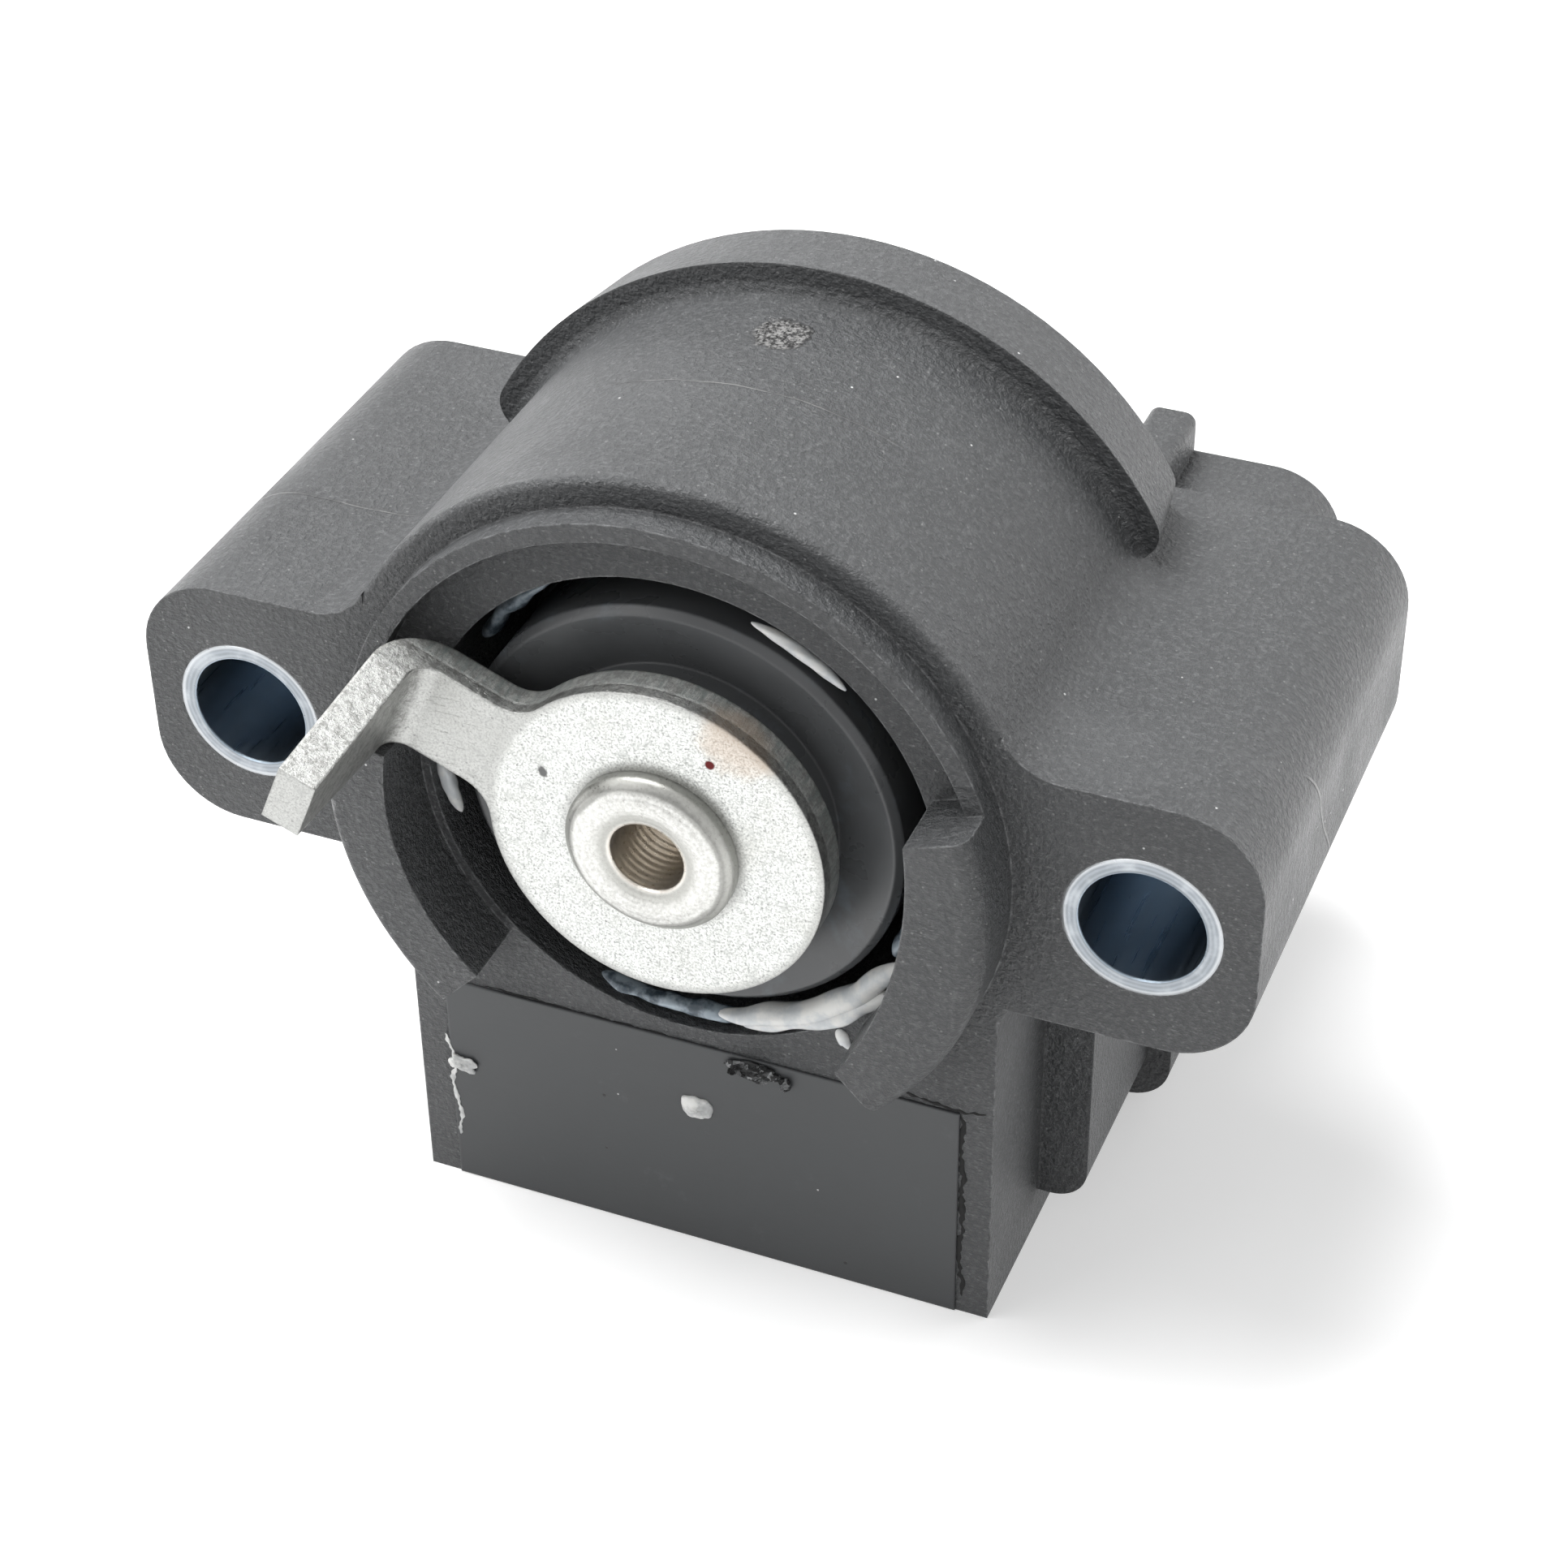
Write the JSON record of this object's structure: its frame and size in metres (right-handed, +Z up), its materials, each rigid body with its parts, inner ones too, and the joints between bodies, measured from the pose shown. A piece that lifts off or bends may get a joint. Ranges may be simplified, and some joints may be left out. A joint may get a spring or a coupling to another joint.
{
  "type": "accelerator potentiometer",
  "caption": "Cable-lever accelerator potentiometer: moulded barrel housing with sleeved mounting ears, sprung metal lever, potted electronics box and rear connector.",
  "frame": {"origin": "midway between the two mounting holes, on the rotor axis, in the plane of the ears' front faces", "axes": "+Z up, +Y to the back towards the connector, +X to the right seen from the lever side"},
  "size_m": [0.0596, 0.0567, 0.0494],
  "materials": {
    "housing_plastic": "glass-filled nylon, lightly textured",
    "sleeve_steel": "zinc plated, satin",
    "bush_bronze": "sintered, satin",
    "seal_rubber": "matte",
    "washer_plastic": "satin acetal",
    "spring_steel": "dark drawn wire",
    "board_laminate": "glass-epoxy laminate",
    "potting_resin": "cast resin, satin",
    "terminal_tin": "tinned",
    "rotor_plastic": "smooth moulded",
    "zinc_steel": "clear zinc plated, stamped",
    "contact_alloy": "spring alloy strip"
  },
  "bodies": {
    "case": {"housing": "housing_plastic", "mounting_sleeve_left": "sleeve_steel", "mounting_sleeve_right": "sleeve_steel", "bearing_bush": "bush_bronze", "spindle_seal": "seal_rubber", "thrust_washer": "washer_plastic", "return_spring": "spring_steel", "reserve_spring": "spring_steel", "track_board": "board_laminate", "circuit_board": "board_laminate", "potting": "potting_resin", "rear_cover": "housing_plastic", "terminal_1": "terminal_tin", "terminal_2": "terminal_tin", "terminal_3": "terminal_tin", "terminal_4": "terminal_tin"},
    "rotor_assembly": {"rotor": "rotor_plastic", "lever": "zinc_steel", "rotor_spindle": "zinc_steel", "retaining_clip": "spring_steel", "wiper_carrier": "washer_plastic", "wiper_contact_outer": "contact_alloy", "wiper_contact_inner": "contact_alloy"}
  },
  "joints": [
    {"name": "lever_turn", "type": "hinge", "parent": "case", "child": "rotor_assembly", "pos_m": [0, 0, 0], "axis": [0, 1, 0], "range_deg": [0, 126], "stiffness_Nm_per_rad": 0.01, "springref_deg": -85.94}
  ]
}
